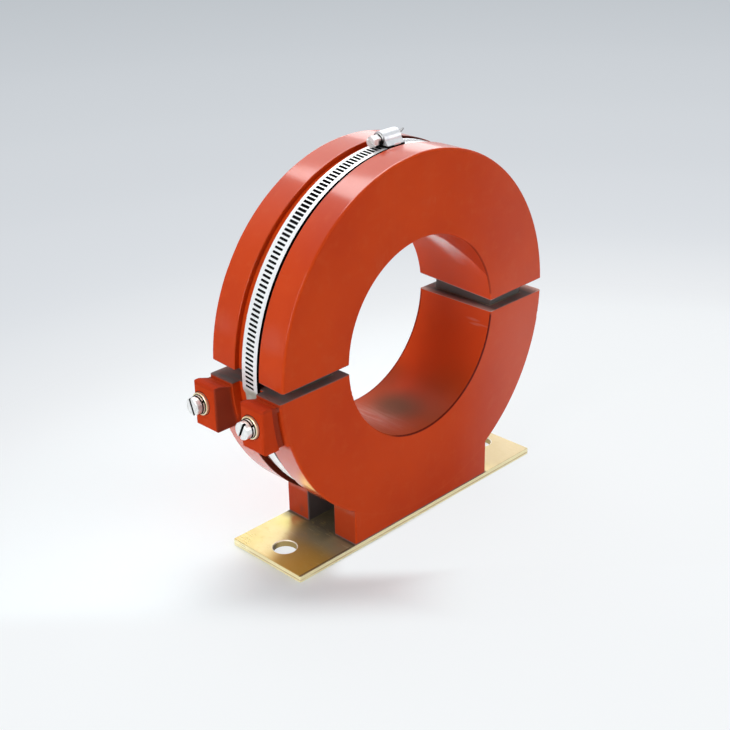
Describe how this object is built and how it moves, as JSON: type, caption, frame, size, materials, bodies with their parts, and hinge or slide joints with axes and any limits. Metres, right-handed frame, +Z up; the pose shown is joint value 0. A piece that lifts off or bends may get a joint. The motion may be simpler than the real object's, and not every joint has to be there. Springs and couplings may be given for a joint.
{
  "type": "zero-sequence current transformer",
  "caption": "Split-core zero-sequence current transformer: two half-ring resin castings on a base plate, held by a worm-drive band clamp, with a screw terminal at each side of the band.",
  "frame": {"origin": "middle of the base plate's underside", "axes": "+Y along the axis of the cable bore, +X along the base plate with the terminals at -X, +Z up away from the base"},
  "size_m": [0.2391, 0.058, 0.2346],
  "materials": {
    "cast_resin": "semi-gloss cast epoxy, orange-red",
    "yellow_zinc": "yellow passivated zinc plate",
    "stainless_band": "bright rolled stainless steel",
    "zinc_screw": "bright zinc plated steel",
    "gold_washer": "yellow passivated zinc plate",
    "core_steel": "cut edges of strip-wound silicon steel",
    "tape_wrap": "matt insulating tape",
    "enamelled_copper": "enamelled copper wire",
    "insert_brass": "machined",
    "lead_sleeve": "satin sleeve over copper"
  },
  "bodies": {
    "root": {"base_plate": "yellow_zinc", "base_screws": "zinc_screw", "foot_inserts": "insert_brass", "lower_casting": "cast_resin", "upper_casting": "cast_resin", "lower_core": "core_steel", "upper_core": "core_steel", "lower_core_wrap": "tape_wrap", "upper_core_wrap": "tape_wrap", "secondary_winding": "enamelled_copper", "winding_lead_front": "lead_sleeve", "winding_lead_rear": "lead_sleeve", "terminal_insert_front": "insert_brass", "terminal_insert_rear": "insert_brass", "terminal_screw_front": "zinc_screw", "terminal_screw_rear": "zinc_screw", "spring_washer_front": "zinc_screw", "spring_washer_rear": "zinc_screw", "flat_washer_front": "gold_washer", "flat_washer_rear": "gold_washer", "clamp_band": "stainless_band", "housing_saddle": "stainless_band", "worm_housing": "stainless_band", "worm_screw": "zinc_screw"}
  },
  "joints": []
}
